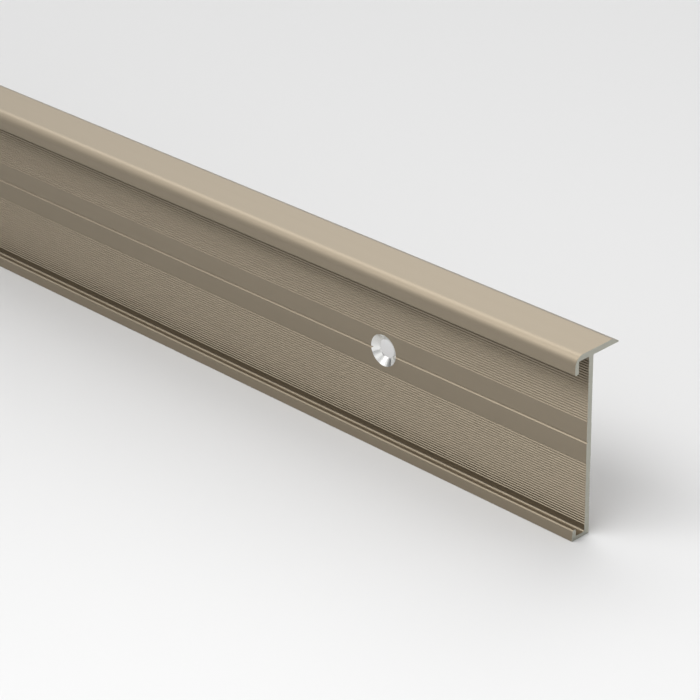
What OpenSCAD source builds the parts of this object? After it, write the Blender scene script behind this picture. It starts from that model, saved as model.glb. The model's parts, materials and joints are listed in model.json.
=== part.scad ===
// Stair nosing: one extruded aluminium profile that caps and trims the edge of a step.
// X runs along the bar, +Y points into the step and +Z is up. The foot stands on Z = 0.

/* [Stock] */
// Length of the bar as sold
length = 900; // [600:50:1200]
// Overall height, from the underside of the foot to the tread surface
height = 45; // [44:0.5:50]
// Overall depth, from the front of the nose to the tip of the tread flange
depth = 13.8; // [12:0.2:18]

/* [Web] */
// Thickness of the upright web
web_thickness = 1.4; // [1.3:0.1:2]
// Pitch of the fine gluing ribs
rib_pitch = 0.61; // [0.5:0.01:1]
// Depth of the grooves between the ribs
rib_depth = 0.16; // [0.1:0.02:0.3]
// Flat left on the crest of each rib
rib_land = 0.29; // [0.15:0.01:0.4]
// Bottom of the lower ribbed zone on the front
low_ribs_from = 2.5; // [2:0.1:4]
// Top of the lower ribbed zone on the front
low_ribs_to = 17.85; // [15:0.05:18.5]
// Bottom of the upper ribbed zone on the front
high_ribs_from = 27.85; // [27.6:0.05:30]
// Clearance of the upper ribbed zone from the ceiling of the channel
high_ribs_margin = 0.85; // [0.5:0.05:2]
// Plain strip at the bottom and at the top of the back
back_plain_strip = 6.6; // [4:0.2:8]
// Plain band on the back to either side of the screw line
back_plain_half = 4; // [3.4:0.2:6]

/* [Drill line] */
// Height of the scribed drill line above the foot
drill_line_height = 22.85; // [22.5:0.05:23.5]
// Width of the scribed drill line
drill_line_width = 0.6; // [0.3:0.05:0.8]
// Depth of the scribed drill line
drill_line_depth = 0.3; // [0.1:0.05:0.4]

/* [Screw holes] */
// Number of countersunk screw holes
hole_count = 4; // [2:1:5]
// Distance from each end of the bar to the first hole
end_margin = 61; // [40:1:90]
// Height of the hole centres above the drill line
hole_rise = 0.35; // [0:0.05:0.5]
// Diameter of the through hole
hole_diameter = 4.7; // [4.6:0.1:5.4]
// Diameter of the countersink at the front face
countersink_diameter = 7.9; // [7.2:0.1:8]
// Full angle of the countersink
countersink_angle = 110; // [105:5:120]

/* [Top and nose] */
// Thickness of the top, over the channel and behind the web
top_thickness = 1.35; // [1.2:0.05:1.6]
// Outer radius of the nose
nose_radius = 2.45; // [1.8:0.05:2.6]
// Clear depth of the channel between the web and the hook's lip
channel_depth = 3.15; // [2.9:0.05:4]
// Thickness of the hook's lip
lip_thickness = 1.15; // [1:0.05:1.4]
// Drop of the hook's lip below the tread surface
lip_drop = 4.4; // [4:0.1:6]
// Width of the bevel along the tread flange's rear edge
bevel_width = 2.05; // [1.8:0.05:4]
// Thickness of the tread flange at its tip
tip_thickness = 0.3; // [0.2:0.05:0.5]

/* [Foot] */
// Reach of the foot in front of the web
foot_reach = 4.15; // [4:0.05:5]
// Thickness of the foot under the slot
foot_thickness = 0.9; // [0.8:0.1:1.2]
// Height of the foot's lip
foot_lip_height = 2.75; // [2.4:0.05:3.5]
// Thickness of the foot's lip
foot_lip_thickness = 1.05; // [1:0.05:1.2]
// Backward lean of the foot lip's outer face
foot_lip_lean = 0.3; // [0.1:0.05:0.4]

/* [Edges] */
// Radius of the exposed outer edges
edge_radius = 0.2; // [0.1:0.05:0.25]
// Radius of the hook lip's two lower edges
lip_radius = 0.35; // [0.3:0.05:0.45]
// Radius of the inner corners of the section
inner_radius = 0.3; // [0.2:0.05:0.4]
// Radius of the fillet between the web and the foot
slot_radius = 0.6; // [0.3:0.05:0.6]
// Radius of the rounded crest of the foot's lip
crest_radius = 0.5; // [0.3:0.05:0.5]
// Radius that eases the start of the bevel
bevel_radius = 0.5; // [0.5:0.5:3]

/* [Hidden] */
$fn = 96;
overrun = 0.5;

// Planes of the section, with the web's front face at zero
nose_front = -channel_depth - lip_thickness;
tip_back = depth + nose_front;
top_under = height - top_thickness;
lip_inside = -channel_depth;
lip_bottom = height - lip_drop;
foot_lip_top = -foot_reach + foot_lip_lean;
foot_lip_inside = foot_lip_top + foot_lip_thickness;
section_middle = nose_front + depth / 2;

// Screw holes
hole_height = drill_line_height + hole_rise;
hole_pitch = (length - 2 * end_margin) / (hole_count - 1);
countersink_slope = tan(countersink_angle / 2);
countersink_depth = (countersink_diameter - hole_diameter) / 2 / countersink_slope;

// Grooves between ribs from height a to height b on a face, cut in the direction of inward
function ribs(face, inward, a, b) =
    let (
        count = floor(abs(b - a) / rib_pitch),
        step = (b - a) / count,
        land = rib_land / rib_pitch / 2,
        stops = [[land, 0], [0.5, rib_depth], [1 - land, 0]]
    )
    [for (i = [0:count - 1]) for (s = stops) [face + inward * s[1], a + (i + s[0]) * step, 0]];

// The scribed line that guides the drill
function drill_line() = [
    [0, drill_line_height + drill_line_width / 2, 0],
    [drill_line_depth, drill_line_height, 0],
    [0, drill_line_height - drill_line_width / 2, 0]
];

// Corners of the section as [across, up, corner radius], anticlockwise from the web's heel
outline = concat(
    [[web_thickness, 0, 0]],
    ribs(web_thickness, -1, back_plain_strip, hole_height - back_plain_half),
    ribs(web_thickness, -1, hole_height + back_plain_half, height - back_plain_strip),
    [
        [web_thickness, top_under, inner_radius],
        [tip_back, top_under, 0],
        [tip_back, top_under + tip_thickness, 0],
        [tip_back - bevel_width, height, bevel_radius],
        [nose_front, height, nose_radius],
        [nose_front, lip_bottom, lip_radius],
        [lip_inside, lip_bottom, lip_radius],
        [lip_inside, top_under, inner_radius],
        [0, top_under, inner_radius]
    ],
    ribs(0, 1, top_under - high_ribs_margin, high_ribs_from),
    drill_line(),
    ribs(0, 1, low_ribs_to, low_ribs_from),
    [
        [0, foot_thickness, slot_radius],
        [foot_lip_inside, foot_thickness, inner_radius],
        [foot_lip_inside, foot_lip_height, crest_radius],
        [foot_lip_top, foot_lip_height, crest_radius],
        [-foot_reach, 0, edge_radius]
    ]
);

function flat_point(p) = [p[0], p[1]];
function unit(v) = v / norm(v);
function before(i) = flat_point(outline[(i + len(outline) - 1) % len(outline)]);
function after(i) = flat_point(outline[(i + 1) % len(outline)]);

// An outside corner turns left on the way round
function outside(i) =
    let (p = flat_point(outline[i]))
    cross(p - before(i), after(i) - p) > 0;

// The sliver between corner i and its rounding arc, carried on past the corner
module corner_sliver(i) {
    p = flat_point(outline[i]);
    r = outline[i][2];
    a = unit(before(i) - p);
    b = unit(after(i) - p);
    half = acos(a * b) / 2;
    inward = unit(a + b);
    centre = p + inward * r / sin(half);
    run = r / tan(half);
    difference() {
        polygon([p - inward * overrun, p + a * run, centre, p + b * run]);
        translate(centre)
            circle(r = r);
    }
}

module section() {
    difference() {
        union() {
            polygon([for (p = outline) flat_point(p)]);
            for (i = [0:len(outline) - 1])
                if (outline[i][2] > 0 && !outside(i)) corner_sliver(i);
        }
        for (i = [0:len(outline) - 1])
            if (outline[i][2] > 0 && outside(i)) corner_sliver(i);
    }
}

// One countersunk hole, drilled from the front face at zero towards +Y
module screw_hole() {
    rotate([-90, 0, 0]) {
        translate([0, 0, -overrun])
            cylinder(h = web_thickness + 2 * overrun, d = hole_diameter);
        translate([0, 0, -overrun])
            cylinder(
                h = countersink_depth + overrun,
                r1 = countersink_diameter / 2 + overrun * countersink_slope,
                r2 = hole_diameter / 2
            );
    }
}

module nosing_profile() {
    color([0.62, 0.56, 0.46])
        translate([0, -section_middle, 0])
            difference() {
                rotate([90, 0, 90])
                    linear_extrude(height = length, center = true)
                        section();
                for (i = [0:hole_count - 1])
                    translate([end_margin - length / 2 + i * hole_pitch, 0, hole_height])
                        screw_hole();
            }
}

nosing_profile();
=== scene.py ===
import json
import math

import bpy
from mathutils import Matrix, Vector


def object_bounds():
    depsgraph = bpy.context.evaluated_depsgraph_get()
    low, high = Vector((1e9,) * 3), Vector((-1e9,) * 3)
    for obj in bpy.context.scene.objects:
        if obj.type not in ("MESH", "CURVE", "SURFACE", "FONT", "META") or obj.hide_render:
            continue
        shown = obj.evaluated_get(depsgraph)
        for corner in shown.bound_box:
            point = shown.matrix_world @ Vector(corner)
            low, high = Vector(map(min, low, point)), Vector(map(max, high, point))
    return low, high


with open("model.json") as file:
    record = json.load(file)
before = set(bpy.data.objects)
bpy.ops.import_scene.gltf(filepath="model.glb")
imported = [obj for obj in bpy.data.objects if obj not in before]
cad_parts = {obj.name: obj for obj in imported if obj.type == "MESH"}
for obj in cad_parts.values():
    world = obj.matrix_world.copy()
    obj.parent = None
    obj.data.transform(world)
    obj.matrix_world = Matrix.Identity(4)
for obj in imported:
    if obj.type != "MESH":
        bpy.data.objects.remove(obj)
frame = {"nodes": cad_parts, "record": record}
cad_box = [list(corner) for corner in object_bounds()]

MM = 0.001

# Places on the part that its finishes follow
BAR_END = cad_box[1][0]
BORES = sorted(mount["pos_m"] for mount in frame["record"]["mounts"] if mount["kind"] == "bore")
HOLES = [bore[0] for bore in BORES]
HOLE_HEIGHT = BORES[0][2]
HOLE_PITCH = (HOLES[-1] - HOLES[0]) / (len(HOLES) - 1)
COUNTERSINK_RADIUS = 3.95 * MM

# How close to the bar's end a face is its cut, and the cosine from which it is square to an axis
END_MARGIN = 0.01 * MM
SQUARE_ON = 0.99

# Widest seam between faces that is closed, and the angle from which an edge stays sharp
SEAM_GAP = 0.002 * MM
SHARP_ANGLE = math.radians(32)

# Anodising: linear colour, depth of relief and noise in features a metre along X, Y and Z
ANODISED_COLOR = (0.283, 0.239, 0.177)
ANODISED_ROUGHNESS = 0.43
ANODISED_METALLIC = 0.86
ANODISED_RELIEF = 0.004 * MM
DIE_LINE_SCALE = (14, 4200, 4200)
DIE_BAND_SCALE = (5, 420, 420)
ANODISED_GRAIN_SCALE = (8000, 8000, 8000)

# Sawn ends: the saw's arcs lie about a centre in front of the bar and above it
SAWN_COLOR = (0.46, 0.456, 0.398)
SAWN_ROUGHNESS = 0.48
SAWN_RELIEF = 0.006 * MM
SAW_CENTRE_Y = -70 * MM
SAW_CENTRE_Z = 130 * MM
SAW_PITCH = 0.34 * MM
SAW_WANDER = 0.25 * MM
SAW_WANDER_SCALE = (900, 900, 900)
SAWN_GRAIN_SCALE = (6000, 6000, 6000)
BLOTCH_SCALE = (700, 700, 700)

# Countersinks: the tool's rings, and its chatter as noise around a circle of unit radius
MACHINED_COLOR = (0.86, 0.86, 0.84)
MACHINED_ROUGHNESS = 0.2
MACHINED_RELIEF = 0.02 * MM
RING_PITCH = 0.13 * MM
RING_WANDER = 0.08 * MM
RING_WANDER_SCALE = (1500, 1500, 1500)
CHATTER_SCALE = (5, 5, 5)
MACHINED_GRAIN_SCALE = (5000, 5000, 5000)

# Share of each pattern in a finish's tone, roughness and relief
TONE, ROUGHNESS, RELIEF = range(3)
ANODISED_SHARES = {
    "lines": (0.06, 0.06, 1.0),
    "bands": (0.07, 0.0, 0.0),
    "grain": (0.0, 0.08, 0.8),
}
SAWN_SHARES = {
    "arcs": (0.05, 0.0, 1.0),
    "grain": (0.16, 0.15, 0.8),
    "blotch": (0.16, 0.0, 0.0),
}
MACHINED_SHARES = {
    "rings": (0.03, 0.0, 0.06),
    "chatter": (0.2, 0.1, 1.0),
    "grain": (0.06, 0.08, 0.0),
}

# Camera, solved from the photograph's straight edges and its hole
CAMERA_AT = (773.708 * MM, -385.699 * MM, 305.767 * MM)
CAMERA_RIGHT = (0.70177385, 0.71220289, -0.01674801)
CAMERA_UP = (-0.31822548, 0.33442572, 0.88706932)
CAMERA_LENS = 138.428
CAMERA_SENSOR = 36.0
CAMERA_CLIP = (0.01, 50.0)

# Far softboxes as direction, strength and sharpness, each with what mirrors it to the camera
AMBIENT = 0.07
SOFTBOXES = [
    ((-0.47, 0.71, 0.52), 2.45, 16.0),  # the flat top
    ((-0.6, 0.21, 0.77), 4.4, 24.0),  # the top of the nose
    ((-0.41, -0.47, 0.78), 5.0, 26.0),  # the middle of the nose and the grooves' lower flanks
    ((-0.56, -0.78, 0.28), 1.1, 14.0),  # the front of the nose
    ((0.16, -0.93, 0.33), 1.0, 20.0),  # the lower left of the countersink
    ((0.62, 0.7, 0.3), 0.9, 8.0),  # the cut end, by way of the floor behind the bar
]

# Near lamp, in front of the bar's near end and above it, and the floor
LAMP_AT = (0.47, -0.16, 0.32)
LAMP_TARGET = (0.43, -0.06, 0.0)
LAMP_SIZE = 0.16
LAMP_POWER = 0.34
FLOOR_COLOR = (0.8, 0.8, 0.8)
FLOOR_SIZE = 12.0


def make_camera():
    data = bpy.data.cameras.new("camera")
    data.lens = CAMERA_LENS
    data.sensor_width = CAMERA_SENSOR
    data.clip_start, data.clip_end = CAMERA_CLIP
    camera = bpy.data.objects.new("camera", data)
    bpy.context.scene.collection.objects.link(camera)
    right = Vector(CAMERA_RIGHT).normalized()
    up = Vector(CAMERA_UP).normalized()
    turn = Matrix((right, up, right.cross(up))).transposed()
    camera.matrix_world = Matrix.Translation(CAMERA_AT) @ turn.to_4x4()
    bpy.context.scene.camera = camera


class Shader:
    """Short forms for building one node tree."""

    def __init__(self, tree):
        self.tree = tree

    def add(self, kind, **settings):
        node = self.tree.nodes.new(kind)
        for name, value in settings.items():
            setattr(node, name, value)
        return node

    def feed(self, socket, value):
        if isinstance(value, bpy.types.NodeSocket):
            self.tree.links.new(value, socket)
        else:
            socket.default_value = value

    def math(self, operation, a, b=0.0, c=0.0):
        node = self.add("ShaderNodeMath", operation=operation)
        for socket, value in zip(node.inputs, (a, b, c)):
            self.feed(socket, value)
        return node.outputs[0]

    def total(self, values):
        result, *rest = values
        for value in rest:
            result = self.math("ADD", result, value)
        return result

    def position(self):
        return self.add("ShaderNodeTexCoord").outputs["Object"]

    def split(self, vector):
        node = self.add("ShaderNodeSeparateXYZ")
        self.feed(node.inputs[0], vector)
        return node.outputs

    def stretched(self, vector, scale):
        node = self.add("ShaderNodeVectorMath", operation="MULTIPLY")
        self.feed(node.inputs[0], vector)
        node.inputs[1].default_value = scale
        return node.outputs[0]

    def noise(self, vector, scale, detail=2.0):
        """Noise about zero, with its own scale on each axis."""
        node = self.add("ShaderNodeTexNoise")
        self.feed(node.inputs["Vector"], self.stretched(vector, scale))
        node.inputs["Scale"].default_value = 1.0
        node.inputs["Detail"].default_value = detail
        return self.math("SUBTRACT", node.outputs[0], 0.5)

    def rings(self, across, up, pitch, wander):
        """Waves about zero in circles a pitch apart, with a radius that wanders."""
        squares = [self.math("MULTIPLY", side, side) for side in (across, up)]
        radius = self.math("SQRT", self.total(squares))
        turns = self.math("MULTIPLY", self.math("ADD", radius, wander), 2 * math.pi / pitch)
        return self.math("SINE", turns)

    def shaded(self, color, amount):
        """A colour made lighter or darker by a share about zero."""
        node = self.add("ShaderNodeVectorMath", operation="SCALE")
        node.inputs[0].default_value = color
        self.feed(node.inputs["Scale"], self.math("ADD", amount, 1.0))
        return node.outputs[0]

    def bump(self, height, depth):
        node = self.add("ShaderNodeBump")
        node.inputs["Strength"].default_value = 1.0
        node.inputs["Distance"].default_value = depth
        self.feed(node.inputs["Height"], height)
        return node.outputs[0]


def metal(name, metallic=1.0):
    material = bpy.data.materials.new(name)
    material.use_nodes = True
    surface = material.node_tree.nodes["Principled BSDF"].inputs
    surface["Metallic"].default_value = metallic
    return material, Shader(material.node_tree), surface


def vary(s, surface, color, roughness, depth, patterns, shares):
    """Let patterns change a surface's tone, roughness and relief, each by its shares."""

    def mixed(column):
        used = [(patterns[name], share[column]) for name, share in shares.items() if share[column]]
        return s.total(s.math("MULTIPLY", pattern, share) for pattern, share in used)

    s.feed(surface["Base Color"], s.shaded(color, mixed(TONE)))
    s.feed(surface["Roughness"], s.math("ADD", mixed(ROUGHNESS), roughness))
    s.feed(surface["Normal"], s.bump(mixed(RELIEF), depth))


def anodised():
    """Matt anodising with the fine lengthwise lines of the extrusion die."""
    material, s, surface = metal("anodised", ANODISED_METALLIC)
    at = s.position()
    patterns = {
        "lines": s.noise(at, DIE_LINE_SCALE, detail=3.0),
        "bands": s.noise(at, DIE_BAND_SCALE),
        "grain": s.noise(at, ANODISED_GRAIN_SCALE, detail=1.0),
    }
    vary(s, surface, ANODISED_COLOR, ANODISED_ROUGHNESS, ANODISED_RELIEF, patterns, ANODISED_SHARES)
    return material


def sawn():
    """Bare metal with the shallow arcs that a circular saw leaves."""
    material, s, surface = metal("sawn")
    at = s.position()
    place = s.split(at)
    across = s.math("SUBTRACT", place["Y"], SAW_CENTRE_Y)
    up = s.math("SUBTRACT", place["Z"], SAW_CENTRE_Z)
    wander = s.math("MULTIPLY", s.noise(at, SAW_WANDER_SCALE), SAW_WANDER)
    patterns = {
        "arcs": s.rings(across, up, SAW_PITCH, wander),
        "grain": s.noise(at, SAWN_GRAIN_SCALE),
        "blotch": s.noise(at, BLOTCH_SCALE),
    }
    vary(s, surface, SAWN_COLOR, SAWN_ROUGHNESS, SAWN_RELIEF, patterns, SAWN_SHARES)
    return material


def machined():
    """Bright countersinks with the rings and the chatter of the tool."""
    material, s, surface = metal("machined")
    at = s.position()
    place = s.split(at)
    from_first = s.math("SUBTRACT", place["X"], HOLES[0])
    across = s.math("WRAP", from_first, HOLE_PITCH / 2, -HOLE_PITCH / 2)
    up = s.math("SUBTRACT", place["Z"], HOLE_HEIGHT)
    wander = s.math("MULTIPLY", s.noise(at, RING_WANDER_SCALE), RING_WANDER)
    spoke = s.add("ShaderNodeCombineXYZ")
    s.feed(spoke.inputs["X"], across)
    s.feed(spoke.inputs["Z"], up)
    around = s.add("ShaderNodeVectorMath", operation="NORMALIZE")
    s.feed(around.inputs[0], spoke.outputs[0])
    patterns = {
        "rings": s.rings(across, up, RING_PITCH, wander),
        "chatter": s.noise(around.outputs[0], CHATTER_SCALE),
        "grain": s.noise(at, MACHINED_GRAIN_SCALE),
    }
    vary(s, surface, MACHINED_COLOR, MACHINED_ROUGHNESS, MACHINED_RELIEF, patterns, MACHINED_SHARES)
    return material


def smooth_curves(node):
    """Weld the faces' seams, keep the corners sharp and shade the curves smoothly."""
    weld = node.modifiers.new("seams", "WELD")
    weld.merge_threshold = SEAM_GAP
    group = bpy.data.node_groups.new("sharp_corners", "GeometryNodeTree")
    for way in ("INPUT", "OUTPUT"):
        group.interface.new_socket("Geometry", in_out=way, socket_type="NodeSocketGeometry")
    source = group.nodes.new("NodeGroupInput")
    result = group.nodes.new("NodeGroupOutput")
    angle = group.nodes.new("GeometryNodeInputMeshEdgeAngle")
    sharp = group.nodes.new("FunctionNodeCompare")
    sharp.operation = "GREATER_THAN"
    sharp.inputs["B"].default_value = SHARP_ANGLE
    shade = group.nodes.new("GeometryNodeSetShadeSmooth")
    shade.domain = "EDGE"
    shade.inputs["Shade Smooth"].default_value = False
    group.links.new(angle.outputs["Unsigned Angle"], sharp.inputs["A"])
    group.links.new(source.outputs[0], shade.inputs["Geometry"])
    group.links.new(sharp.outputs["Result"], shade.inputs["Selection"])
    group.links.new(shade.outputs["Geometry"], result.inputs[0])
    corners = node.modifiers.new("corners", "NODES")
    corners.node_group = group
    normals = node.modifiers.new("normals", "WEIGHTED_NORMAL")
    normals.keep_sharp = True


def finish_of(face):
    """Name of a face's finish, from where it lies and which way it faces."""
    at, facing = face.center, face.normal
    if abs(facing.x) > SQUARE_ON and abs(at.x) > BAR_END - END_MARGIN:
        return "sawn"
    near_hole = any(math.hypot(at.x - x, at.z - HOLE_HEIGHT) < COUNTERSINK_RADIUS for x in HOLES)
    if near_hole and abs(facing.y) < SQUARE_ON:
        return "machined"
    return "anodised"


def dress(node):
    finishes = {"anodised": anodised(), "sawn": sawn(), "machined": machined()}
    slots = list(finishes)
    node.data.materials.clear()
    for material in finishes.values():
        node.data.materials.append(material)
    for face in node.data.polygons:
        face.use_smooth = True
        face.material_index = slots.index(finish_of(face))
    smooth_curves(node)


def make_floor():
    bpy.ops.mesh.primitive_plane_add(size=FLOOR_SIZE, location=(0, 0, 0))
    floor = bpy.context.object
    floor.name = "floor"
    material = bpy.data.materials.new("floor")
    material.use_nodes = True
    surface = material.node_tree.nodes["Principled BSDF"].inputs
    surface["Base Color"].default_value = (*FLOOR_COLOR, 1.0)
    surface["Roughness"].default_value = 1.0
    surface["Specular IOR Level"].default_value = 0.0
    floor.data.materials.append(material)


def make_softboxes():
    """Light the world from far softboxes that fade with the angle from their middle."""
    world = bpy.data.worlds.new("studio")
    bpy.context.scene.world = world
    world.use_nodes = True
    s = Shader(world.node_tree)
    way = s.add("ShaderNodeTexCoord").outputs["Generated"]
    light = AMBIENT
    for direction, strength, sharpness in SOFTBOXES:
        facing = s.add("ShaderNodeVectorMath", operation="DOT_PRODUCT")
        s.feed(facing.inputs[0], way)
        facing.inputs[1].default_value = Vector(direction).normalized()
        away = s.math("SUBTRACT", facing.outputs["Value"], 1.0)
        falloff = s.math("EXPONENT", s.math("MULTIPLY", away, sharpness))
        light = s.math("ADD", light, s.math("MULTIPLY", falloff, strength))
    background = world.node_tree.nodes["Background"].inputs
    background["Color"].default_value = (1.0, 1.0, 1.0, 1.0)
    s.feed(background["Strength"], light)


def make_lamp():
    data = bpy.data.lights.new("front_lamp", "AREA")
    data.size = LAMP_SIZE
    data.energy = LAMP_POWER
    lamp = bpy.data.objects.new("front_lamp", data)
    bpy.context.scene.collection.objects.link(lamp)
    lamp.location = LAMP_AT
    lamp.rotation_mode = "QUATERNION"
    lamp.rotation_quaternion = (Vector(LAMP_TARGET) - Vector(LAMP_AT)).to_track_quat("-Z", "Y")


make_camera()
dress(frame["nodes"]["nosing_profile"])
make_floor()
make_softboxes()
make_lamp()
bpy.context.scene.view_settings.view_transform = "Standard"
